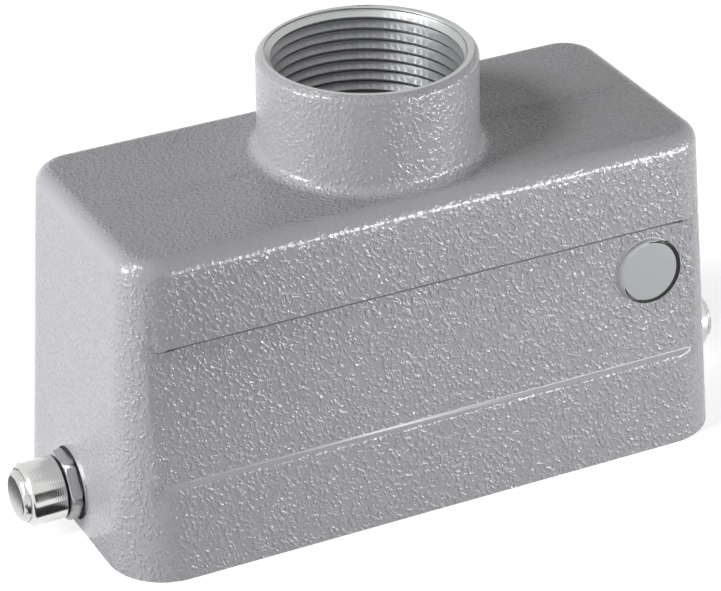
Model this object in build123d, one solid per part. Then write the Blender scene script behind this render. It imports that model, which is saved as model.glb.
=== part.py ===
# Die-cast top-entry hood of a rectangular multipole plug connector, with a locking peg on each end.
# Millimetres. The origin is the centre of the bottom rim, X runs along the hood, +Z is up.
import os
from math import cos, radians, tan

from build123d import *

# Hood body, measured at the bottom rim
body_length = 93.5
body_width = 43.0
body_height = 47.5
draft_angle = 3.65         # every outer wall leans in, so that the casting leaves its die
corner_radius = 8.5        # at the bottom rim; it shrinks with the draft
top_edge_radius = 2.6
rim_edge_chamfer = 0.15

# Walls and cavity
wall_thickness = 3.2
roof_thickness = 3.4
rim_wall = 3.5             # thicker wall round the mouth, which takes the insert
rim_depth = 12.0           # from the bottom rim up to the seats of the insert
mouth_corner_radius = 5.0
cavity_top_radius = 2.0

# Flat panel sunk into both long sides
panel_depth = 0.7
panel_bottom = 13.8        # foot of the sloping ledge
panel_top = 34.4           # step under the upper zone
panel_edge_chamfer = 0.25  # breaks the edges that the panel leaves on the wall

# Raised round pad on the front panel, left blank
pad_diameter = 9.4
pad_height = 0.7           # level with the wall above the panel
pad_chamfer = 0.3
pad_x = 33.9
pad_z = 28.2

# Cable entry collar
collar_diameter = 30.6
collar_height = 14.5
collar_draft = 0.1
collar_foot_radius = 1.6
collar_edge_chamfer = 0.8
entry_diameter = 26.5      # core of the coated entry thread, whose grooves are cut into this wall
entry_chamfer = 0.15

# Casting seam along the middle of the roof
seam_width = 0.7
seam_height = 0.12
seam_end_gap = 5.0

# Screw posts for the contact insert
post_spacing_x = 77.5
post_spacing_y = 27.0
post_diameter = 8.5
screw_hole_diameter = 3.3  # tapping size of the insert screws
screw_hole_depth = 11.0

# Locking pegs
peg_height = 6.0           # axis above the bottom rim
peg_seat_diameter = 10.6
peg_seat_proud = 0.3       # how far the seat stands out of the end wall at the peg's axis
shank_diameter = 6.0
shank_clearance = 0.02
hex_across_flats = 9.0
hex_thickness = 1.8
hex_corner_diameter = 10.0
hex_chamfer = 0.35
journal_diameter = 6.0
roller_diameter = 9.0
roller_length = 5.4
roller_chamfer = 0.6
roller_inner_chamfer = 0.3
roller_radial_clearance = 0.06
roller_end_play = 0.15
roller_pocket_depth = 0.6  # sinks the head into the roller's end
roller_head_clearance = 0.1
head_diameter = 7.4
head_thickness = 1.4
head_edge_chamfer = 0.9     # cut in two steps, which leaves the head domed
shank_setback = 0.2        # keeps the shank's end inside the wall


def lean(height):
    """How far the draft has brought an outer wall in at a height."""
    return height * tan(radians(draft_angle))


def side_offset(height):
    """Distance of a long side's surface from the middle plane at a height."""
    return body_width / 2 - lean(height)


def end_offset(height):
    """Distance of an end wall's surface from the middle plane at a height."""
    return body_length / 2 - lean(height)


# Worked out from the sizes above
roof_underside = body_height - roof_thickness
collar_top = body_height + collar_height
post_radius = post_diameter / 2
seat_x = end_offset(peg_height) + peg_seat_proud
shank_start_x = body_length / 2 - rim_wall + shank_setback
roller_x = seat_x + hex_thickness + roller_end_play
head_x = roller_x + roller_length - roller_pocket_depth + roller_end_play


def drafted_block(low, high, inset=0.0):
    """Solid between two heights with the body's outline and draft, moved inwards by inset."""
    outline = RectangleRounded(
        2 * (end_offset(low) - inset),
        2 * (side_offset(low) - inset),
        corner_radius - lean(low) - inset,
    )
    return extrude(Plane.XY.offset(low) * outline, amount=high - low, taper=draft_angle)


def panel_cutter():
    """Prism that sinks the flat panel into the front side; its ends run out in the corners."""
    ledge_top = panel_bottom + panel_depth
    reach = 4 * panel_depth
    profile = Plane.YZ * make_face(Polyline(
        (-side_offset(panel_bottom) - reach, panel_bottom - reach),
        (-side_offset(ledge_top) + panel_depth, ledge_top),
        (-side_offset(panel_top) + panel_depth, panel_top),
        (-side_offset(panel_top) - reach, panel_top),
        close=True,
    ))
    return extrude(profile, amount=body_length / 2, both=True)


def panel_rims(body):
    """Long outer edges that the sunk panels leave on the walls of the body."""
    heights = body.edges().filter_by(Axis.X).filter_by_position(
        Axis.Z, panel_bottom - panel_depth, panel_top + panel_depth)
    return [
        edge for edge in heights
        if abs(abs(edge.center().Y) - side_offset(edge.center().Z)) < panel_depth / 10
    ]


def blank_pad():
    """Low round pad that stands on the front panel and leans with it."""
    seat_y = -side_offset(pad_z) + panel_depth
    place = Location((pad_x, seat_y, pad_z)) * Rotation(90 - draft_angle, 0, 0)
    disc = Cylinder(pad_diameter / 2, pad_height + panel_depth)
    disc = chamfer(disc.edges().sort_by(Axis.Z)[-1], pad_chamfer)
    return place * Pos(0, 0, (pad_height - panel_depth) / 2) * disc


def collar():
    """Turned outside of the collar with its foot fillet and rounded rim."""
    foot = collar_diameter / 2 + collar_draft
    top = collar_diameter / 2
    outline = Polyline(
        (0, roof_underside),
        (foot, roof_underside),
        (foot, body_height),
        (top, collar_top),
        (0, collar_top),
        close=True,
    )
    body = revolve(Plane.XZ * make_face(outline), Axis.Z)
    rim = body.edges().filter_by(GeomType.CIRCLE).sort_by(Axis.Z)[-1]
    return chamfer(rim, collar_edge_chamfer)


def entry_bore():
    """Cutter for the round entry, with a chamfer at its mouth."""
    radius = entry_diameter / 2
    outline = Polyline(
        (0, roof_underside - roof_thickness),
        (radius, roof_underside - roof_thickness),
        (radius, collar_top - entry_chamfer),
        (radius + entry_chamfer, collar_top),
        (0, collar_top),
        close=True,
    )
    return revolve(Plane.XZ * make_face(outline), Axis.Z)


def cavity():
    """Inside of the hood: a straight mouth for the insert and a drafted chamber above it."""
    chamber = drafted_block(rim_depth, roof_underside, wall_thickness)
    ceiling = chamber.faces().sort_by(Axis.Z)[-1]
    chamber = fillet(ceiling.edges(), cavity_top_radius)
    mouth = extrude(
        RectangleRounded(body_length - 2 * rim_wall, body_width - 2 * rim_wall, mouth_corner_radius),
        amount=rim_depth,
    )
    return chamber + mouth


def screw_post():
    """Post in one corner of the chamber, joined to both walls, with its hole."""
    height = body_height - rim_depth
    up = (Align.MIN, Align.CENTER, Align.MIN)
    across = (Align.CENTER, Align.MIN, Align.MIN)
    post = Cylinder(post_radius, height, align=(Align.CENTER, Align.CENTER, Align.MIN))
    post += Box(body_length / 2, post_diameter, height, align=up)
    post += Box(post_diameter, body_width / 2, height, align=across)
    post += Box(body_length / 2, body_width / 2, height, align=(Align.MIN, Align.MIN, Align.MIN))
    return Pos(post_spacing_x / 2, post_spacing_y / 2, rim_depth) * post


def in_four_corners(piece):
    """The piece and its mirror images in the other three corners."""
    pair = [piece, piece.mirror(Plane.YZ)]
    return pair + [each.mirror(Plane.XZ) for each in pair]


def peg_seat():
    """Round seat that a peg's hexagon sits on, square to the peg."""
    disc = Cylinder(peg_seat_diameter / 2, wall_thickness, align=(Align.CENTER, Align.CENTER, Align.MAX))
    return peg_plane(seat_x) * disc


def peg_hole():
    """Hole for a peg's shank through the end wall."""
    hole = Cylinder(shank_diameter / 2, 2 * wall_thickness + 2 * rim_wall)
    return peg_plane(seat_x) * hole


def peg_plane(station):
    """Plane across the right peg's axis at a distance from the middle of the hood."""
    return Plane.YZ.offset(station) * Pos(0, peg_height, 0)


def turned(points):
    """Solid turned about the right peg's axis from points given as station and radius."""
    outline = Polyline(*[(station, peg_height + radius) for station, radius in points], close=True)
    axis = Axis((0, 0, peg_height), (1, 0, 0))
    return revolve(Plane.XZ * make_face(outline), axis)


def hexagon():
    """Spanner hexagon of the peg, its corners turned down to a circle and chamfered."""
    flats = extrude(RegularPolygon(hex_across_flats / 2, 6, major_radius=False), amount=hex_thickness)
    blank = Cylinder(hex_corner_diameter / 2, hex_thickness, align=(Align.CENTER, Align.CENTER, Align.MIN))
    blank = chamfer(blank.edges().filter_by(GeomType.CIRCLE), hex_chamfer)
    return peg_plane(seat_x) * (flats & blank)


def peg_stud():
    """Steel stud on the right: shank in the wall, hexagon, journal and riveted domed head."""
    shank = shank_diameter / 2 - shank_clearance
    journal = journal_diameter / 2
    head = head_diameter / 2
    tip_x = head_x + head_thickness
    step = head_edge_chamfer * (1 - cos(radians(45)))
    stud = turned([
        (shank_start_x, 0),
        (shank_start_x, shank),
        (seat_x, shank),
        (seat_x, journal),
        (head_x, journal),
        (head_x, head),
        (tip_x - head_edge_chamfer, head),
        (tip_x - step, head - step),
        (tip_x, head - head_edge_chamfer),
        (tip_x, 0),
    ])
    return stud + hexagon()


def peg_roller():
    """Loose sleeve on the right stud's journal, sunk at its outer end for the head."""
    bore = journal_diameter / 2 + roller_radial_clearance
    outside = roller_diameter / 2
    pocket = head_diameter / 2 + roller_head_clearance
    end = roller_x + roller_length
    return turned([
        (roller_x, bore),
        (roller_x, outside - roller_inner_chamfer),
        (roller_x + roller_inner_chamfer, outside),
        (end - roller_chamfer, outside),
        (end, outside - roller_chamfer),
        (end, pocket),
        (end - roller_pocket_depth, pocket),
        (end - roller_pocket_depth, bore),
    ])


def hood_outside():
    """The casting's outer form, still solid inside."""
    body = drafted_block(0, body_height)
    body = fillet(body.faces().sort_by(Axis.Z)[-1].edges(), top_edge_radius)
    body = chamfer(body.faces().sort_by(Axis.Z)[0].edges(), rim_edge_chamfer)
    body += collar()
    circles = body.edges().filter_by(GeomType.CIRCLE)
    foot = circles.filter_by_position(Axis.Z, body_height - collar_foot_radius, body_height + collar_foot_radius)
    foot_radius = collar_diameter / 2 + collar_draft
    body = fillet([edge for edge in foot if abs(edge.radius - foot_radius) < collar_draft], collar_foot_radius)
    panel = panel_cutter()
    body = body - panel - panel.mirror(Plane.XZ)
    body = chamfer(panel_rims(body), panel_edge_chamfer)
    body += blank_pad()
    seat = peg_seat()
    return body + seat + seat.mirror(Plane.YZ)


def hood_shell():
    """The casting, hollowed and drilled."""
    outside = hood_outside()
    body = outside - cavity()
    for post in in_four_corners(screw_post()):
        body += post & outside
    body -= entry_bore()
    hole = peg_hole()
    body = body - hole - hole.mirror(Plane.YZ)
    screw_hole = Pos(post_spacing_x / 2, post_spacing_y / 2, rim_depth) * Cylinder(
        screw_hole_diameter / 2, 2 * screw_hole_depth)
    for each in in_four_corners(screw_hole):
        body -= each
    seam = casting_seam()
    return body + seam + seam.mirror(Plane.YZ)


def casting_seam():
    """Fine ridge along the middle of the roof, one length each side of the collar."""
    start = collar_diameter / 2 + collar_foot_radius
    end = end_offset(body_height) - seam_end_gap
    outline = Plane.YZ.offset(start) * make_face(Polyline(
        (-seam_width, body_height - seam_height),
        (seam_width, body_height - seam_height),
        (0, body_height + seam_height),
        close=True,
    ))
    return extrude(outline, amount=end - start)


def both_ends(piece):
    """The right-hand piece and its mirror image on the left, by the side's name."""
    return {"right": piece, "left": piece.mirror(Plane.YZ)}


if __name__ == "__main__":
    os.makedirs("parts", exist_ok=True)
    pieces = {"hood_shell": hood_shell()}
    for side, piece in both_ends(peg_stud()).items():
        pieces[f"{side}_peg_stud"] = piece
    for side, piece in both_ends(peg_roller()).items():
        pieces[f"{side}_roller"] = piece
    for node, piece in pieces.items():
        export_step(piece, f"parts/{node}.step")
        print(node, round(piece.volume, 1), "cubic mm")
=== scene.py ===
from math import atan2, cos, hypot, pi, radians, sin, tan

import bpy
from bpy.props import FloatProperty, FloatVectorProperty, IntProperty, PointerProperty
from mathutils import Matrix, Vector


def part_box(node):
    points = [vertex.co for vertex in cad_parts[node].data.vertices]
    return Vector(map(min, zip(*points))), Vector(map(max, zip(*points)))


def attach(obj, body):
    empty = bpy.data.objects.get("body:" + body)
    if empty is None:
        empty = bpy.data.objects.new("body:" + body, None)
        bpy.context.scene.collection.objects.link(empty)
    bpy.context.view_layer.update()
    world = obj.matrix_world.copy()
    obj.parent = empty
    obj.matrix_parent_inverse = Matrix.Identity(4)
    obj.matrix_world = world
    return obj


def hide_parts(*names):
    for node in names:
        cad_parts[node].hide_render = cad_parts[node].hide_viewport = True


bl_info = {
    "name": "Connector hood",
    "version": (1, 0, 0),
    "blender": (4, 5, 0),
    "location": "3D View > Sidebar > Connector hood",
    "description": "Gives the solids of a die-cast connector hood their thread, coat and plating",
    "category": "Object",
}

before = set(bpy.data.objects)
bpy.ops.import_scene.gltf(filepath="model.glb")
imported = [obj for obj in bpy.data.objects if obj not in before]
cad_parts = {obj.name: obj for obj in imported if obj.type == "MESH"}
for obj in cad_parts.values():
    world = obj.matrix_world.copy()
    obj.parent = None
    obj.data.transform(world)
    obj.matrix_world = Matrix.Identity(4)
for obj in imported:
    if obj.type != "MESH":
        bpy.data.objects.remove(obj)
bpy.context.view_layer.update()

MM = 0.001
MERGE_DISTANCE = 0.001 * MM
CLOSE = 0.05 * MM               # a point this near a place counts as being there
SMOOTH_ANGLE = radians(50)      # rounds the shading over chamfers and keeps square edges sharp
WAVE_LENGTH = 0.314             # length of one wave of the wave texture at a scale of 1

# Extent of the casting, read from its solid in model.glb
hood_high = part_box("hood_shell")[1]
collar_top = hood_high.z

# Body of the casting and its sunk panels
DRAFT = radians(3.65)
CORNER_RADIUS = 8.5 * MM
BODY_HEIGHT = 47.5 * MM
ROOF_EDGE_HEIGHT = 3.1 * MM     # from the foot of the rounded edge up to the flat of the roof
PANEL_BOTTOM, PANEL_TOP = 13.8 * MM, 34.4 * MM
PANEL_DEPTH = 0.7 * MM
PANEL_CHAMFER = 0.25 * MM

# Cable entry
BORE_LENGTH = 17.9 * MM         # from the collar's rim down to the chamber's ceiling
BORE_CHAMFER = 0.15 * MM        # the solid's own chamfer, which the wider lip takes the place of
RIM_RADIUS = 14.5 * MM          # outside of the rim's flat ring
COLLAR_RADIUS = 15.3 * MM
COLLAR_CHAMFER = 0.8 * MM
RIM_ROUNDING = 0.3 * MM
LIP_WIDTH = 0.9 * MM            # width and depth of the sloping lip at the mouth
MOUTH_OVERLAP = radians(50)     # how far the mouth's bare metal runs on past the thread's start

# Locking pegs
PEG_HEIGHT = 6 * MM
PEG_SEAT_RADIUS = 5.3 * MM
PEG_SEAT_PROUD = 0.3 * MM
HEXAGON_THICKNESS = 1.8 * MM
hexagon_foot = hood_high.x - PEG_HEIGHT * tan(DRAFT) + PEG_SEAT_PROUD
hexagon_face = hexagon_foot + HEXAGON_THICKNESS

# Round pad on the front panel: its seat's middle, and the directions out of it and up along it
PAD_X, PAD_Z = 33.9 * MM, 28.2 * MM
PAD_RADIUS = 4.7 * MM
PAD_HEIGHT = 0.7 * MM
PAD_CHAMFER = 0.3 * MM
GAP_TURN = radians(-35)         # where the gap beside it is widest, from the right upwards
pad_normal = Vector((0, -cos(DRAFT), sin(DRAFT)))
pad_upwards = Vector((0, sin(DRAFT), cos(DRAFT)))
pad_seat = Vector((PAD_X, -(hood_high.y - PAD_Z * tan(DRAFT)) + PANEL_DEPTH, PAD_Z))

# Camera, fitted to the outline in the photograph
CAMERA_PLACE = (-189.729 * MM, -387.181 * MM, 262.222 * MM)
CAMERA_TURN, CAMERA_TILT, CAMERA_ROLL = radians(-25.916), radians(28.964), radians(-0.939)
SENSOR_WIDTH = 36               # in millimetres, as a camera takes it

# Stage
LAMP_AIM = (0, 0, 0.03)
FLOOR_DROP = 0.02 * MM          # keeps the floor's face clear of the rim that stands on it


def linear(code):
    """Linear colour with full alpha from an sRGB hex code such as #A0A0A0."""
    parts = [int(code[i:i + 2], 16) / 255 for i in (1, 3, 5)]
    return [
        part / 12.92 if part <= 0.04045 else ((part + 0.055) / 1.055) ** 2.4 for part in parts
    ] + [1.0]


def add_node(tree, kind, settings=None, **inputs):
    """New node with its settings and its inputs.

    An input goes by its name with _ for a space, or by i and its number where names repeat, as in a
    mix of two colours. It takes a plain value, or the socket that a link comes from.
    """
    node = tree.nodes.new(kind)
    for name, value in (settings or {}).items():
        setattr(node, name, value)
    for name, value in inputs.items():
        by_number = name[0] == "i" and name[1:].isdigit()
        socket = node.inputs[int(name[1:]) if by_number else name.replace("_", " ")]
        if isinstance(value, bpy.types.NodeSocket):
            tree.links.new(value, socket)
        else:
            socket.default_value = value
    return node


def new_material(name):
    """Material without any nodes, and its tree."""
    material = bpy.data.materials.new(name)
    material.use_nodes = True
    material.node_tree.nodes.clear()
    return material, material.node_tree


def scale_for(size):
    """Texture scale at which a pattern repeats once in a size in metres."""
    return 1 / size


def start_clean():
    """Object mode with nothing selected."""
    if bpy.context.object and bpy.context.object.mode != "OBJECT":
        bpy.ops.object.mode_set(mode="OBJECT")
    bpy.ops.object.select_all(action="DESELECT")


def make_active(piece):
    """Only this piece is selected and active."""
    start_clean()
    piece.select_set(True)
    bpy.context.view_layer.objects.active = piece


def select_whole(piece):
    """Edit mode with the whole mesh of the piece selected."""
    make_active(piece)
    bpy.ops.object.mode_set(mode="EDIT")
    bpy.ops.mesh.select_all(action="SELECT")


def select_edges(piece, test):
    """Edit mode with the edges selected whose two ends pass the test."""
    make_active(piece)
    bpy.ops.object.mode_set(mode="EDIT")
    bpy.ops.mesh.select_mode(type="EDGE")
    bpy.ops.mesh.select_all(action="DESELECT")
    bpy.ops.object.mode_set(mode="OBJECT")
    passed = [test(vertex.co) for vertex in piece.data.vertices]
    for edge in piece.data.edges:
        edge.select = all(passed[i] for i in edge.vertices)
    bpy.ops.object.mode_set(mode="EDIT")


def merged_copy(node, name):
    """Copy of a CAD node's mesh with its loose triangles joined, as a new piece."""
    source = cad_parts[node]
    piece = bpy.data.objects.new(name, source.data.copy())
    piece.data.name = name
    piece.data.materials.clear()
    bpy.context.scene.collection.objects.link(piece)
    select_whole(piece)
    bpy.ops.mesh.remove_doubles(threshold=MERGE_DISTANCE)
    bpy.ops.object.mode_set(mode="OBJECT")
    return piece


def join_flat_facets(piece):
    """Turns the triangles of each flat face into one face, so that its shading is even."""
    select_whole(piece)
    bpy.ops.mesh.dissolve_limited(angle_limit=radians(0.3))
    bpy.ops.object.mode_set(mode="OBJECT")


def round_edges(piece, test, width, shape=0.5):
    """Rounds off the edges whose two ends pass the test."""
    select_edges(piece, test)
    bpy.ops.mesh.bevel(offset=width, segments=3, profile=shape, affect="EDGES")
    bpy.ops.object.mode_set(mode="OBJECT")


def apply_modifier(piece, kind, **settings):
    """Adds a modifier with its settings to the piece and applies it."""
    make_active(piece)
    bpy.ops.object.modifier_add(type=kind)
    modifier = piece.modifiers[-1]
    for name, value in settings.items():
        setattr(modifier, name, value)
    bpy.ops.object.modifier_apply(modifier=modifier.name)


def cut_away(piece, cutter):
    """Takes the cutter's volume out of the piece and deletes the cutter."""
    apply_modifier(piece, "BOOLEAN", operation="DIFFERENCE", solver="EXACT", object=cutter)
    bpy.data.objects.remove(cutter)


def soften_shading(piece):
    """Smooth shading that stops at square edges, with flat faces kept flat beside chamfers."""
    make_active(piece)
    bpy.ops.object.shade_smooth_by_angle(angle=SMOOTH_ANGLE)
    apply_modifier(piece, "WEIGHTED_NORMAL", keep_sharp=True)


def paint_where(piece, material, test):
    """Gives the material to the faces whose centre passes the test."""
    piece.data.materials.append(material)
    slot = len(piece.data.materials) - 1
    for face in piece.data.polygons:
        if test(face.center):
            face.material_index = slot


class CoatSettings(bpy.types.PropertyGroup):
    """Textured powder coat of the casting."""

    colour: FloatVectorProperty(
        name="Coat colour", description="Colour of the powder coat", subtype="COLOR", size=4,
        min=0, max=1, default=linear("#A2A2A6"))
    grain: FloatProperty(
        name="Grain", description="Distance between two bumps of the coat", unit="LENGTH",
        default=0.5 * MM)
    grain_height: FloatProperty(
        name="Grain height", description="Height of the bumps of the coat", unit="LENGTH",
        default=0.125 * MM)
    stretch: FloatProperty(
        name="Stretch", description="Length of a bump over its width", default=1.35)
    lean: FloatProperty(
        name="Lean", description="Turn of the long bumps about Y, from upright", subtype="ANGLE",
        default=radians(-30))
    edge_share: FloatProperty(
        name="Edge share", description="Height of the bumps on the rounded top edge, as a share",
        subtype="FACTOR", min=0, max=1, default=0.35)
    collar_share: FloatProperty(
        name="Collar share", description="Height of the bumps on the collar, as a share",
        subtype="FACTOR", min=0, max=1, default=0.6)
    left_share: FloatProperty(
        name="Left share", description="Height of the bumps at the left end, as a share",
        subtype="FACTOR", min=0, max=1, default=0.75)


class PadSettings(bpy.types.PropertyGroup):
    """Smooth round pad on the front, and the gap beside it."""

    colour: FloatVectorProperty(
        name="Pad colour", description="Colour of the pad's smooth face", subtype="COLOR", size=4,
        min=0, max=1, default=linear("#9FA4A5"))
    face_radius: FloatProperty(
        name="Face radius", description="Radius of the pad's flat face", unit="LENGTH",
        default=4.3 * MM)
    gap_radius: FloatProperty(
        name="Pocket radius", description="Radius of the pocket that shows beside the pad",
        unit="LENGTH", default=4.78 * MM)
    gap_offset: FloatProperty(
        name="Pocket offset", description="How far the pocket is off centre, to the right and down",
        unit="LENGTH", default=0.75 * MM)
    gap_depth: FloatProperty(
        name="Gap depth", description="Depth of the gap below the panel", unit="LENGTH",
        default=1.2 * MM)


class ThreadSettings(bpy.types.PropertyGroup):
    """Thread that is cut into the wall of the cable entry."""

    core: FloatProperty(
        name="Core", description="Diameter inside the thread's crests", unit="LENGTH",
        default=26.5 * MM)
    major: FloatProperty(
        name="Major", description="Diameter at the thread's roots", unit="LENGTH",
        default=28.1 * MM)
    pitch: FloatProperty(
        name="Pitch", description="Rise in one turn, 16 turns to the inch", unit="LENGTH",
        default=25.4 / 16 * MM)
    start_angle: FloatProperty(
        name="Start", description="Angle about the entry's axis where the groove begins",
        subtype="ANGLE", default=radians(5))
    start_depth: FloatProperty(
        name="Start depth", unit="LENGTH", default=-0.76 * MM,
        description="Depth of the groove's upper end below the rim; above the rim it is negative")
    turns: IntProperty(
        name="Turns", description="Whole turns of the groove", default=13, min=1)
    steps: IntProperty(
        name="Steps", description="Straight steps in one turn", default=96, min=12)


class PlatingSettings(bpy.types.PropertyGroup):
    """Nickel plate on the locking pegs."""

    stud_colour: FloatVectorProperty(
        name="Stud colour", description="Colour of the stud's plate", subtype="COLOR", size=4,
        min=0, max=1, default=linear("#CBCBCA"))
    hexagon_colour: FloatVectorProperty(
        name="Hexagon colour", description="Colour of the hexagon's dull plate", subtype="COLOR",
        size=4, min=0, max=1, default=linear("#B6B6B8"))
    roller_colour: FloatVectorProperty(
        name="Roller colour", description="Colour of the roller's plate", subtype="COLOR", size=4,
        min=0, max=1, default=linear("#D6D6D4"))


class StageSettings(bpy.types.PropertyGroup):
    """Camera, lamps and floor."""

    lens: FloatProperty(
        name="Lens", description="Focal length on a sensor 36 mm wide", unit="CAMERA",
        default=174.174)
    floor_size: FloatProperty(
        name="Floor size", description="Side of the square floor", unit="LENGTH", default=6.0)
    left_power: FloatProperty(
        name="Left lamp", description="Power of the wide low lamp on the left", unit="POWER",
        default=3.7)
    high_power: FloatProperty(
        name="High left lamp", description="Power of the small high lamp on the left",
        unit="POWER", default=2.5)
    front_power: FloatProperty(
        name="Front lamp", description="Power of the lamp in front on the right", unit="POWER",
        default=1.04)
    back_power: FloatProperty(
        name="Back lamp", description="Power of the low lamp behind the hood", unit="POWER",
        default=1.4)
    edge_power: FloatProperty(
        name="Edge lamp", description="Power of the lamp that shines on rounded edges only",
        unit="POWER", default=1.35)
    world_light: FloatProperty(
        name="Room light", description="Strength of the even light from all round", default=0.0)


def coat_material(settings):
    """Textured powder coat: an even grey film whose melted grains catch the light as small specks.

    The grains are long and lean over, and they are lower in some places than on the walls.
    """
    material, tree = new_material("powder_coat_textured")
    place = add_node(tree, "ShaderNodeTexCoord").outputs["Object"]
    parts = add_node(tree, "ShaderNodeSeparateXYZ", Vector=place)
    edge_foot = BODY_HEIGHT - ROOF_EDGE_HEIGHT
    relief = 0.0
    for operation, axis, start, end, first, last in (
            # Whole on the walls, low on the roof's rounded edge and whole again on the roof
            ("MAXIMUM", "Z", edge_foot, edge_foot + 0.7 * MM, 1.0, settings.edge_share),
            ("MAXIMUM", "Z", BODY_HEIGHT - 0.3 * MM, BODY_HEIGHT - 0.1 * MM, 0.0, 1.0),
            # Lower towards the left end, and lower on the collar
            ("MULTIPLY", "X", -45 * MM, 25 * MM, settings.left_share, 1.0),
            ("MULTIPLY", "Z", BODY_HEIGHT, BODY_HEIGHT + 3 * MM, 1.0, settings.collar_share)):
        ramp = add_node(
            tree, "ShaderNodeMapRange", Value=parts.outputs[axis], From_Min=start, From_Max=end,
            To_Min=first, To_Max=last)
        relief = add_node(
            tree, "ShaderNodeMath", {"operation": operation}, i0=relief,
            i1=ramp.outputs["Result"]).outputs["Value"]
    along = add_node(
        tree, "ShaderNodeMapping", {"vector_type": "TEXTURE"}, Vector=place,
        Rotation=(0, settings.lean, 0), Scale=(1, 1, settings.stretch))
    grains = add_node(
        tree, "ShaderNodeTexNoise", Vector=along.outputs["Vector"],
        Scale=scale_for(settings.grain), Detail=1.0, Roughness=0.5, Distortion=0.3)
    valley, crest = 0.45, 0.7       # what the noise gives at the foot and the top of a grain
    wrinkles = add_node(
        tree, "ShaderNodeMapRange", {"interpolation_type": "SMOOTHSTEP"},
        Value=grains.outputs["Fac"], From_Min=valley, From_Max=crest, To_Min=0.0, To_Max=relief)
    bump = add_node(
        tree, "ShaderNodeBump", Strength=1.0, Distance=settings.grain_height,
        Height=wrinkles.outputs["Result"])
    shader = add_node(
        tree, "ShaderNodeBsdfPrincipled", Base_Color=list(settings.colour), Roughness=0.2,
        IOR=1.5, Normal=bump.outputs["Normal"])
    add_node(tree, "ShaderNodeOutputMaterial", Surface=shader.outputs["BSDF"])
    return material


def smooth_coat_material(name, colour, roughness):
    """Powder coat that flowed out smooth, on the pad and on steps too narrow for its grain.

    It shines evenly, with only a faint long wave, and without the specks of the coat beside it.
    """
    material, tree = new_material(name)
    place = add_node(tree, "ShaderNodeTexCoord").outputs["Object"]
    waves = add_node(
        tree, "ShaderNodeTexNoise", Vector=place, Scale=scale_for(1.6 * MM), Detail=1.0)
    bump = add_node(
        tree, "ShaderNodeBump", Strength=1.0, Distance=0.01 * MM, Height=waves.outputs["Fac"])
    shader = add_node(
        tree, "ShaderNodeBsdfPrincipled", Base_Color=list(colour), Roughness=roughness,
        IOR=1.5, Normal=bump.outputs["Normal"])
    add_node(tree, "ShaderNodeOutputMaterial", Surface=shader.outputs["BSDF"])
    return material


def machined_material(name, colour):
    """Die-cast aluminium cut bare by a tool: a dull, even shine with faint marks."""
    material, tree = new_material(name)
    place = add_node(tree, "ShaderNodeTexCoord").outputs["Object"]
    marks = add_node(
        tree, "ShaderNodeTexNoise", Vector=place, Scale=scale_for(0.8 * MM), Detail=2.0)
    bump = add_node(
        tree, "ShaderNodeBump", Strength=1.0, Distance=0.02 * MM, Height=marks.outputs["Fac"])
    shader = add_node(
        tree, "ShaderNodeBsdfPrincipled", Base_Color=linear(colour), Metallic=1.0,
        Roughness=0.4, Normal=bump.outputs["Normal"])
    add_node(tree, "ShaderNodeOutputMaterial", Surface=shader.outputs["BSDF"])
    return material


def bare_casting_material():
    """Uncoated die-cast aluminium inside the hood: matt grey metal with a cloudy skin."""
    material, tree = new_material("die_cast_aluminium")
    place = add_node(tree, "ShaderNodeTexCoord").outputs["Object"]
    clouds = add_node(
        tree, "ShaderNodeTexNoise", Vector=place, Scale=scale_for(7 * MM), Detail=4.0)
    tone = add_node(
        tree, "ShaderNodeMix", {"data_type": "RGBA"}, Factor=clouds.outputs["Fac"],
        i6=linear("#98999B"), i7=linear("#B4B5B7"))
    skin = add_node(
        tree, "ShaderNodeTexNoise", Vector=place, Scale=scale_for(0.5 * MM), Detail=2.0)
    bump = add_node(
        tree, "ShaderNodeBump", Strength=1.0, Distance=0.02 * MM, Height=skin.outputs["Fac"])
    shader = add_node(
        tree, "ShaderNodeBsdfPrincipled", Base_Color=tone.outputs[2], Metallic=1.0,
        Roughness=0.5, Normal=bump.outputs["Normal"])
    add_node(tree, "ShaderNodeOutputMaterial", Surface=shader.outputs["BSDF"])
    return material


def turned_plate_material(name, colour, roughness, ring_pitch, ring_height):
    """Nickel plate on turned steel: bright metal with the fine rings that the tool left round X.

    Real rings are finer than the render can show, so these are drawn as coarse as they need to be.
    """
    material, tree = new_material(name)
    place = add_node(tree, "ShaderNodeTexCoord").outputs["Object"]
    rings = add_node(
        tree, "ShaderNodeTexWave",
        {"wave_type": "BANDS", "bands_direction": "X", "wave_profile": "SIN"},
        Vector=place, Scale=scale_for(ring_pitch) * WAVE_LENGTH, Distortion=0.0, Detail=0.0)
    bump = add_node(
        tree, "ShaderNodeBump", Strength=1.0, Distance=ring_height, Height=rings.outputs["Fac"])
    shader = add_node(
        tree, "ShaderNodeBsdfPrincipled", Base_Color=list(colour), Metallic=1.0,
        Roughness=roughness, Normal=bump.outputs["Normal"])
    add_node(tree, "ShaderNodeOutputMaterial", Surface=shader.outputs["BSDF"])
    return material


def black_material(name):
    """Dull, even black: painted shade in narrow gaps, and the cards that only reflections show. It
    reads as a dark line or a dark band.
    """
    material, tree = new_material(name)
    shader = add_node(
        tree, "ShaderNodeBsdfPrincipled", Base_Color=linear("#0B0B0C"), Roughness=0.8)
    add_node(tree, "ShaderNodeOutputMaterial", Surface=shader.outputs["BSDF"])
    return material


def wall_depth(at):
    """How deep a point lies under the drafted face of the nearer long side."""
    return hood_high.y - at.z * tan(DRAFT) - abs(at.y)


def from_peg_axis(at):
    """How far a point is from the axis of the locking pegs."""
    return hypot(at.y, at.z - PEG_HEIGHT)


def from_pad(at):
    """How far a point stands out of the panel beside the pad, and is to the right and up."""
    from_seat = at - pad_seat
    return from_seat.dot(pad_normal), from_seat.x, from_seat.dot(pad_upwards)


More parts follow.
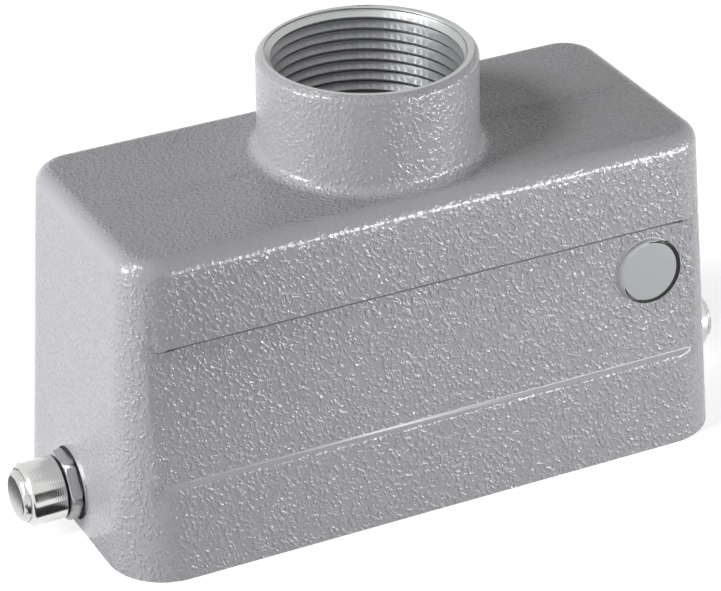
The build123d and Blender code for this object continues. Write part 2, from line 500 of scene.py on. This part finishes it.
def in_entry(at, thread):
    """Whether a point lies on the threaded wall of the cable entry."""
    return at.xy.length < thread.major / 2 + 0.2 * MM and at.z > collar_top - BORE_LENGTH


def on_lip(at, thread):
    """Whether a point lies on the mouth of the entry, above the first crest of its thread."""
    turn = (atan2(at.y, at.x) - thread.start_angle + MOUTH_OVERLAP) % (2 * pi) - MOUTH_OVERLAP
    first_crest = thread.pitch * (1 - turn / (2 * pi)) + 0.03 * MM
    return at.xy.length < RIM_RADIUS and collar_top - at.z < max(first_crest, LIP_WIDTH + 0.02 * MM)


def inside_hood(at):
    """Whether a point lies on an inner wall: within the casting's outline less part of its wall."""
    into_wall = 2 * MM
    corner = CORNER_RADIUS - at.z * tan(DRAFT) - into_wall
    past_x = abs(at.x) - (hood_high.x - CORNER_RADIUS)
    past_y = abs(at.y) - (hood_high.y - CORNER_RADIUS)
    in_corner = min(past_x, past_y) > 0
    reach = hypot(past_x, past_y) if in_corner else max(past_x, past_y)
    return reach < corner and 0.4 * MM < at.z < collar_top - BORE_LENGTH + 0.1 * MM


def on_peg_seat(at):
    """Whether a point lies on the flat of the round seat under a peg's hexagon."""
    return from_peg_axis(at) < PEG_SEAT_RADIUS + CLOSE and abs(abs(at.x) - hexagon_foot) < CLOSE


def on_narrow_step(at):
    """Whether a point lies on a step too narrow for the coat's grain.

    Such steps are the wall round a peg's seat and the ledge under a sunk panel.
    """
    on_seat_wall = (
        abs(from_peg_axis(at) - PEG_SEAT_RADIUS) < CLOSE and abs(at.x) > hexagon_foot - 0.7 * MM)
    on_ledge = (
        PANEL_BOTTOM < at.z < PANEL_BOTTOM + PANEL_DEPTH
        and 0.1 * MM < wall_depth(at) < PANEL_DEPTH - 0.1 * MM)
    return on_seat_wall or on_ledge


def on_panel_line(at):
    """Whether a point lies on the slope at the upper edge of a sunk panel."""
    return (
        PANEL_TOP < at.z < PANEL_TOP + 0.6 * MM
        and CLOSE < wall_depth(at) < PANEL_DEPTH - 0.1 * MM)


def on_pad_edge(at):
    """Whether a point lies on the rounded edge of the pad."""
    out, side, up = from_pad(at)
    return hypot(side, up) < PAD_RADIUS + 0.2 * MM and 0.01 * MM < out < PAD_HEIGHT + 0.02 * MM


def on_pad(at):
    """Whether a point lies on the flat face of the pad."""
    out, side, up = from_pad(at)
    return hypot(side, up) < PAD_RADIUS and abs(out - PAD_HEIGHT) < 0.02 * MM


def in_pad_gap(at, pad):
    """Whether a point lies on the walls or the floor of the gap beside the pad."""
    out, side, up = from_pad(at)
    from_pocket = hypot(
        side - pad.gap_offset * cos(GAP_TURN), up - pad.gap_offset * sin(GAP_TURN))
    return (
        from_pocket < pad.gap_radius + 0.03 * MM
        and hypot(side, up) > pad.face_radius - CLOSE
        and -pad.gap_depth - 0.1 * MM < out < PAD_HEIGHT - 0.02 * MM)


def open_panel_line(casting):
    """Widens the slope at the upper edge of the sunk panels, which reads as a dark line."""
    more = 0.3 * MM
    close = 0.06 * MM
    for vertex in casting.data.vertices:
        at = vertex.co
        depth = wall_depth(at)
        side = 1 if at.y > 0 else -1
        if abs(depth) < close and abs(at.z - PANEL_TOP - PANEL_CHAMFER) < close:
            at.z += more
            at.y -= side * more * tan(DRAFT)
        elif abs(depth - PANEL_CHAMFER) < close and abs(at.z - PANEL_TOP) < close:
            at.y -= side * more


def round_rim(casting, core):
    """Slopes the collar's rim into the entry and rounds it outside, as the coat flowed over it."""

    def on_ring(at, radius, depth):
        return abs(at.xy.length - radius) < CLOSE and abs(at.z - (collar_top - depth)) < CLOSE

    for vertex in casting.data.vertices:
        if on_ring(vertex.co, core, BORE_CHAMFER):
            vertex.co.z = collar_top
    select_edges(casting, lambda at: at.z > collar_top - CLOSE)
    bpy.ops.mesh.select_mode(type="FACE")
    bpy.ops.mesh.dissolve_limited(angle_limit=radians(1))
    bpy.ops.object.mode_set(mode="OBJECT")
    for radius, depth, width, shape in (
            (core, 0, LIP_WIDTH, 0.35),
            (RIM_RADIUS, 0, RIM_ROUNDING, 0.5),
            (COLLAR_RADIUS, COLLAR_CHAMFER, RIM_ROUNDING, 0.5)):
        round_edges(casting, lambda at: on_ring(at, radius, depth), width, shape)


def round_pad(casting):
    """Rounds the edge of the pad from its foot to its face, as the coat flowed over it."""

    def on_loop(at, radius, height):
        out, side, up = from_pad(at)
        return abs(hypot(side, up) - radius) < CLOSE and abs(out - height) < CLOSE

    for radius, height, width in (
            (PAD_RADIUS, 0, 0.18 * MM),
            (PAD_RADIUS, PAD_HEIGHT - PAD_CHAMFER, 0.2 * MM),
            (PAD_RADIUS - PAD_CHAMFER, PAD_HEIGHT, 0.2 * MM)):
        round_edges(casting, lambda at: on_loop(at, radius, height), width)


def thread_cutter(settings):
    """Helical tooth that cuts the groove of the entry's thread."""
    core = settings.core / 2
    major = settings.major / 2
    inside = 0.3 * MM               # how far within the bore the tooth starts, for a clean cut
    crest_flat = 0.12 * MM
    root_flat = 0.2 * MM
    width = settings.pitch - crest_flat
    start_clean()
    bpy.ops.mesh.primitive_plane_add(
        size=1, location=(core - inside / 2, 0, 0), rotation=(pi / 2, 0, 0))
    cutter = bpy.context.object
    cutter.scale = (inside, width, 1)
    bpy.ops.object.transform_apply(location=True, rotation=True, scale=True)
    select_edges(cutter, lambda at: at.x > core - inside / 2)
    bpy.ops.mesh.extrude_region_move(TRANSFORM_OT_translate={"value": (major - core, 0, 0)})
    bpy.ops.transform.resize(value=(1, 1, root_flat / width))
    bpy.ops.mesh.select_all(action="SELECT")
    bpy.ops.mesh.dissolve_limited()
    bpy.ops.mesh.delete(type="ONLY_FACE")
    bpy.ops.object.mode_set(mode="OBJECT")
    apply_modifier(
        cutter, "SCREW", axis="Z", angle=2 * pi, screw_offset=settings.pitch,
        iterations=settings.turns, steps=settings.steps, render_steps=settings.steps,
        use_merge_vertices=False)
    bottom = collar_top - settings.start_depth - settings.turns * settings.pitch
    cutter.data.transform(
        Matrix.Translation((0, 0, bottom)) @ Matrix.Rotation(settings.start_angle, 4, "Z"))
    bpy.ops.object.mode_set(mode="EDIT")
    bpy.ops.mesh.select_all(action="DESELECT")
    bpy.ops.mesh.select_non_manifold(
        extend=False, use_wire=False, use_multi_face=False, use_verts=False)
    bpy.ops.mesh.edge_face_add()
    bpy.ops.mesh.select_all(action="SELECT")
    bpy.ops.mesh.normals_make_consistent(inside=False)
    bpy.ops.object.mode_set(mode="OBJECT")
    return cutter


def gap_cutter(settings):
    """Crescent between the pad's edge and the pocket round it, which is a little off centre."""
    widest = cos(GAP_TURN) * Vector((1, 0, 0)) + sin(GAP_TURN) * pad_upwards
    discs = []
    start_clean()
    for radius, offset, depth in (
            (settings.gap_radius, settings.gap_offset, 2 * settings.gap_depth),
            (settings.face_radius, 0, 3 * settings.gap_depth)):
        bpy.ops.mesh.primitive_cylinder_add(
            vertices=128, radius=radius, depth=depth, location=pad_seat + offset * widest,
            rotation=(pi / 2 - DRAFT, 0, 0))
        discs.append(bpy.context.object)
        bpy.ops.object.transform_apply(location=True, rotation=True, scale=True)
        start_clean()
    pocket, face = discs
    cut_away(pocket, face)
    return pocket


class HOOD_OT_casting(bpy.types.Operator):
    """Cuts the entry's thread into a copy of the casting and coats it"""

    bl_idname = "connector_hood.casting"
    bl_label = "Casting"

    def execute(self, context):
        coat = context.scene.hood_coat
        pad = context.scene.hood_pad
        thread = context.scene.hood_thread
        casting = merged_copy("hood_shell", "hood_casting")
        open_panel_line(casting)
        join_flat_facets(casting)
        round_rim(casting, thread.core / 2)
        round_pad(casting)
        cut_away(casting, thread_cutter(thread))
        cut_away(casting, gap_cutter(pad))
        join_flat_facets(casting)
        if len(casting.data.polygons) < len(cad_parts["hood_shell"].data.polygons) // 2:
            raise RuntimeError("the thread's cut has spoiled the casting")
        casting.data.materials.append(coat_material(coat))
        # Finishes in the order that they are laid on, since a later one covers those before it.
        # The line above a panel is the same coat in deep shade, so it is given darker.
        for finish, test in (
                # The thread and the lip are the same bare aluminium: the thread is given darker as
                # painted shade in the bore, and the lip lighter as painted light at the mouth.
                (machined_material("machined_thread_with_painted_shade", "#8E8F91"), lambda at: in_entry(at, thread)),
                (machined_material("machined_lip_with_painted_light", "#B8BABA"), lambda at: on_lip(at, thread)),
                (bare_casting_material(), inside_hood),
                (smooth_coat_material("coat_on_narrow_steps", coat.colour, 0.3), on_narrow_step),
                # Painted highlight: the pad's rounded edge is given a lighter coat than the panel
                # beside it.
                (smooth_coat_material("coat_with_painted_highlight_on_pad_edge", linear("#BCBDC0"), 0.3), on_pad_edge),
                (smooth_coat_material("coat_in_panel_line", linear("#5C5C60"), 0.6), on_panel_line),
                (smooth_coat_material("smooth_pad", pad.colour, 0.4), on_pad),
                # Painted shade: the gap beside the pad and the seat under each peg's hexagon are
                # given black for the shadow in them.
                (black_material("black_painted_shade_in_gaps"),
                 lambda at: in_pad_gap(at, pad) or on_peg_seat(at))):
            paint_where(casting, finish, test)
        soften_shading(casting)
        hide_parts("hood_shell")
        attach(casting, "hood")
        return {"FINISHED"}


class HOOD_OT_studs(bpy.types.Operator):
    """Plates the two peg studs"""

    bl_idname = "connector_hood.studs"
    bl_label = "Peg studs"

    def execute(self, context):
        plating = context.scene.hood_plating
        bright = turned_plate_material(
            "nickel_plated_stud", plating.stud_colour, 0.2, 0.25 * MM, 0.002 * MM)
        dull = turned_plate_material(
            "dull_plate_on_hexagon", plating.hexagon_colour, 0.5, 0.25 * MM, 0.001 * MM)
        for side in ("left", "right"):
            stud = merged_copy(f"{side}_peg_stud", f"{side}_stud_plated")
            join_flat_facets(stud)
            stud.data.materials.append(bright)
            paint_where(stud, dull, lambda at: abs(at.x) < hexagon_face + 0.01 * MM)
            soften_shading(stud)
            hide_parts(f"{side}_peg_stud")
            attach(stud, "hood")
        return {"FINISHED"}


class HOOD_OT_rollers(bpy.types.Operator):
    """Plates the two rollers that turn on the studs"""

    bl_idname = "connector_hood.rollers"
    bl_label = "Peg rollers"

    def execute(self, context):
        plate = turned_plate_material(
            "nickel_plated_roller", context.scene.hood_plating.roller_colour, 0.16, 0.33 * MM,
            0.004 * MM)
        roller_end_shade = black_material("black_painted_shade_at_roller_end")
        for side in ("left", "right"):
            roller = merged_copy(f"{side}_roller", f"{side}_roller_plated")
            join_flat_facets(roller)
            roller.data.materials.append(plate)
            # Painted shade: the roller's inner end beside the hexagon is given black for the shadow
            # in the gap between them.
            paint_where(roller, roller_end_shade, lambda at: abs(at.x) < hexagon_face + 0.4 * MM)
            soften_shading(roller)
            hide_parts(f"{side}_roller")
            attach(roller, f"{side}_roller")
        return {"FINISHED"}


def seen_directly(tree):
    """Factor of 1 for rays from the camera, off gloss or through glass, and of 0 for all others."""
    rays = add_node(tree, "ShaderNodeLightPath")
    seen = rays.outputs["Is Camera Ray"]
    for kind in ("Is Glossy Ray", "Is Transmission Ray"):
        seen = add_node(
            tree, "ShaderNodeMath", {"operation": "MAXIMUM"}, i0=seen,
            i1=rays.outputs[kind]).outputs["Value"]
    return seen


def floor_material():
    """Matt white paper: it keeps the object's shadow and is otherwise seen as white.

    The lamps light it near the object, so less white is added there than far away.
    """
    near, far = 0.2, 0.8
    material, tree = new_material("white_paper_floor")
    paper = add_node(tree, "ShaderNodeBsdfDiffuse", Color=linear("#D2D2D2"), Roughness=0.5)
    place = add_node(tree, "ShaderNodeTexCoord").outputs["Object"]
    distance = add_node(tree, "ShaderNodeVectorMath", {"operation": "LENGTH"}, i0=place)
    whiter = add_node(
        tree, "ShaderNodeMapRange", Value=distance.outputs["Value"], From_Min=near, From_Max=far,
        To_Min=0.7, To_Max=1.0)
    white = add_node(
        tree, "ShaderNodeEmission", Color=linear("#FFFFFF"), Strength=whiter.outputs["Result"])
    none = add_node(tree, "ShaderNodeEmission", Color=linear("#000000"), Strength=0.0)
    shown = add_node(
        tree, "ShaderNodeMixShader", Fac=seen_directly(tree), i1=none.outputs["Emission"],
        i2=white.outputs["Emission"])
    both = add_node(
        tree, "ShaderNodeAddShader", i0=paper.outputs["BSDF"], i1=shown.outputs["Shader"])
    add_node(tree, "ShaderNodeOutputMaterial", Surface=both.outputs["Shader"])
    return material


def set_world(strength):
    """Even white room, plain white where it is seen."""
    world = bpy.data.worlds.new("white_room")
    bpy.context.scene.world = world
    world.use_nodes = True
    tree = world.node_tree
    tree.nodes.clear()
    room = add_node(tree, "ShaderNodeBackground", Color=linear("#FFFFFF"), Strength=strength)
    white = add_node(tree, "ShaderNodeBackground", Color=linear("#FFFFFF"), Strength=1.0)
    mixed = add_node(
        tree, "ShaderNodeMixShader", Fac=seen_directly(tree), i1=room.outputs["Background"],
        i2=white.outputs["Background"])
    add_node(tree, "ShaderNodeOutputWorld", Surface=mixed.outputs["Shader"])


def add_card(name, place, size, material):
    """Thin card that only reflections show, as a studio uses to give bright metal dark bands."""
    start_clean()
    bpy.ops.mesh.primitive_cube_add(size=1, location=place, scale=size)
    card = bpy.context.object
    card.name = name
    card.data.materials.append(material)
    card.visible_camera = False
    card.visible_diffuse = False
    card.visible_shadow = False


def add_lamp(name, place, size, power, kept_out_of):
    """Soft rectangular lamp turned to the object, that the camera and one kind of ray don't see."""
    data = bpy.data.lights.new(name, "AREA")
    data.shape = "RECTANGLE"
    data.size, data.size_y = size
    data.energy = power
    lamp = bpy.data.objects.new(name, data)
    bpy.context.scene.collection.objects.link(lamp)
    lamp.visible_camera = False
    lamp.visible_diffuse = kept_out_of != "diffuse"
    lamp.visible_glossy = kept_out_of != "glossy"
    lamp.location = place
    lamp.rotation_euler = (Vector(LAMP_AIM) - Vector(place)).to_track_quat("-Z", "Y").to_euler()


def add_camera(lens):
    """Camera where the photograph was taken from, given by its turn, tilt and roll."""
    back = Vector((
        sin(CAMERA_TURN) * cos(CAMERA_TILT), -cos(CAMERA_TURN) * cos(CAMERA_TILT),
        sin(CAMERA_TILT)))
    level = Vector((cos(CAMERA_TURN), sin(CAMERA_TURN), 0))
    upright = back.cross(level)
    right = cos(CAMERA_ROLL) * level + sin(CAMERA_ROLL) * upright
    up = cos(CAMERA_ROLL) * upright - sin(CAMERA_ROLL) * level
    camera = bpy.data.objects.new("camera", bpy.data.cameras.new("camera"))
    bpy.context.scene.collection.objects.link(camera)
    axes = Matrix((right, up, back)).transposed().to_4x4()
    camera.matrix_world = Matrix.Translation(CAMERA_PLACE) @ axes
    camera.data.sensor_width = SENSOR_WIDTH
    camera.data.lens = lens
    camera.data.clip_start = 0.01
    bpy.context.scene.camera = camera


class HOOD_OT_stage(bpy.types.Operator):
    """Lays the floor and sets the camera, the lamps and the room"""

    bl_idname = "connector_hood.stage"
    bl_label = "Stage"

    def execute(self, context):
        stage = context.scene.hood_stage
        start_clean()
        bpy.ops.mesh.primitive_plane_add(size=stage.floor_size, location=(0, 0, -FLOOR_DROP))
        floor = context.object
        floor.name = "floor"
        floor.data.materials.append(floor_material())

        # Cards by the left peg: name, place and size in metres
        black = black_material("black_card")
        for name, place, size in (
                ("front_card", (-0.035, -0.075, 0.021), (0.075, 0.0002, 0.042)),
                ("floor_card", (-0.055, -0.012, 0.0003), (0.04, 0.012, 0.0002)),
                ("left_card", (-0.061, 0.012, 0.0003), (0.006, 0.02, 0.0002))):
            add_card(name, place, size, black)

        # Lamps: name, place and size in metres, power, and the rays that they are kept out of.
        # The edge lamp gives reflections only, and two others would burn out the roof with theirs.
        for name, place, size, power, kept_out_of in (
                ("left_low", (-0.68, 0.08, 0.13), (0.25, 0.25), stage.left_power, None),
                ("left_high", (-0.495, -0.07, 0.507), (0.16, 0.16), stage.high_power, None),
                ("front_right", (0.25, -0.27, 0.075), (0.28, 0.08), stage.front_power, "glossy"),
                ("behind_low", (-0.05, 0.6, 0.035), (0.4, 0.05), stage.back_power, "glossy"),
                ("edge_lamp", (0.19, -0.23, 0.024), (0.3, 0.044), stage.edge_power, "diffuse")):
            add_lamp(name, place, size, power, kept_out_of)
        set_world(stage.world_light)
        add_camera(stage.lens)
        context.scene.view_settings.view_transform = "Standard"
        return {"FINISHED"}


class HOOD_PT_panel(bpy.types.Panel):
    """Lists the settings, and the steps in the order that they run"""

    bl_label = "Connector hood"
    bl_idname = "HOOD_PT_panel"
    bl_space_type = "VIEW_3D"
    bl_region_type = "UI"
    bl_category = "Connector hood"

    def draw(self, context):
        for group in groups:
            settings = getattr(context.scene, group)
            box = self.layout.box()
            for name in settings.__annotations__:
                box.prop(settings, name)
        for step in steps:
            self.layout.operator(step.bl_idname)


groups = {
    "hood_coat": CoatSettings,
    "hood_pad": PadSettings,
    "hood_thread": ThreadSettings,
    "hood_plating": PlatingSettings,
    "hood_stage": StageSettings,
}
steps = (HOOD_OT_casting, HOOD_OT_studs, HOOD_OT_rollers, HOOD_OT_stage)


def register():
    for name, group in groups.items():
        bpy.utils.register_class(group)
        setattr(bpy.types.Scene, name, PointerProperty(type=group))
    for step in steps:
        bpy.utils.register_class(step)
    bpy.utils.register_class(HOOD_PT_panel)


def unregister():
    bpy.utils.unregister_class(HOOD_PT_panel)
    for step in reversed(steps):
        bpy.utils.unregister_class(step)
    for name, group in groups.items():
        delattr(bpy.types.Scene, name)
        bpy.utils.unregister_class(group)


def main():
    register()
    bpy.ops.connector_hood.casting()
    bpy.ops.connector_hood.studs()
    bpy.ops.connector_hood.rollers()
    bpy.ops.connector_hood.stage()


if __name__ == "__main__":
    main()
